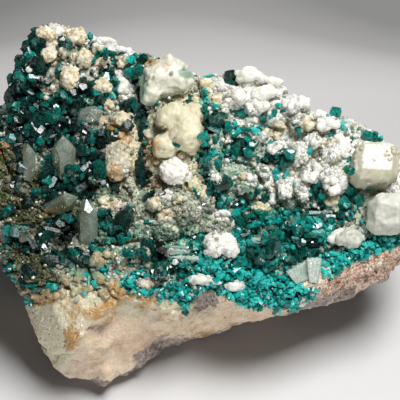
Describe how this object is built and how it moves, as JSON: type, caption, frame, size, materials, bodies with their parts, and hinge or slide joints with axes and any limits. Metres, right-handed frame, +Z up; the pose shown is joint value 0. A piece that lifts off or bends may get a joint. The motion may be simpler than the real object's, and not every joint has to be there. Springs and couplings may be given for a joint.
{
  "type": "dioptase specimen",
  "caption": "Mineral specimen: dark green and turquoise dioptase crystals with pale quartz and white calcite on a lump of tan rock that rests on a flat underside.",
  "frame": {"origin": "on the floor, under the middle of the specimen's box", "axes": "+X along the specimen's length to the right as the crystal face is viewed, +Y to the back, +Z up"},
  "size_m": [0.1262, 0.0942, 0.0615],
  "materials": {
    "tan_rock": "rough broken rock, tan to pinkish with grey specks",
    "dark_dioptase": "glossy, deep green, see-through at thin edges",
    "turquoise_dioptase": "glossy small crystals, bright blue-green",
    "grey_quartz": "sugary and sparkling, grey with a green cast",
    "pale_quartz": "clear to cloudy, glossy",
    "yellow_quartz": "grainy, cloudy, yellowish beige",
    "stained_quartz": "pale greenish quartz with orange iron stains",
    "cream_calcite": "dull, cream, finely knobbly",
    "white_calcite": "white, matt to slightly see-through, knobbly"
  },
  "bodies": {
    "root": {"matrix": "tan_rock", "dioptase_druse_left": "dark_dioptase", "quartz_druse_left": "grey_quartz", "quartz_crust_centre": "grey_quartz", "white_crust_right": "white_calcite", "dioptase_druse_right": "dark_dioptase", "dioptase_druse_front": "turquoise_dioptase", "stained_quartz_front": "stained_quartz", "stained_quartz_lump": "stained_quartz", "quartz_knob": "pale_quartz", "yellow_quartz_mass": "yellow_quartz", "calcite_block_upper": "white_calcite", "calcite_block_lower": "white_calcite", "calcite_blades": "white_calcite", "white_heart_lump": "white_calcite", "white_calcite_lump": "white_calcite", "white_calcite_patch": "white_calcite", "cream_lump_corner": "cream_calcite", "cream_lump_top": "cream_calcite", "cream_lump_round": "cream_calcite", "cream_lump_pair": "cream_calcite", "cream_lump_tall": "cream_calcite", "cream_lump_slanted": "cream_calcite", "cream_lump_low": "cream_calcite", "quartz_crystal_upper": "pale_quartz", "quartz_crystal_large": "pale_quartz", "quartz_crystal_tall": "pale_quartz", "quartz_crystal_beside_hollow": "pale_quartz", "quartz_crystal_above_hollow": "pale_quartz", "dioptase_crystal_left_edge": "dark_dioptase", "dioptase_crystal_long": "dark_dioptase", "dioptase_crystal_middle": "dark_dioptase", "dioptase_crystal_crevice_upper": "dark_dioptase", "dioptase_crystal_crevice_lower": "dark_dioptase", "dioptase_crystal_ridge": "dark_dioptase", "dioptase_crystal_rim": "turquoise_dioptase", "dioptase_crystal_far_right": "turquoise_dioptase"}
  },
  "joints": []
}
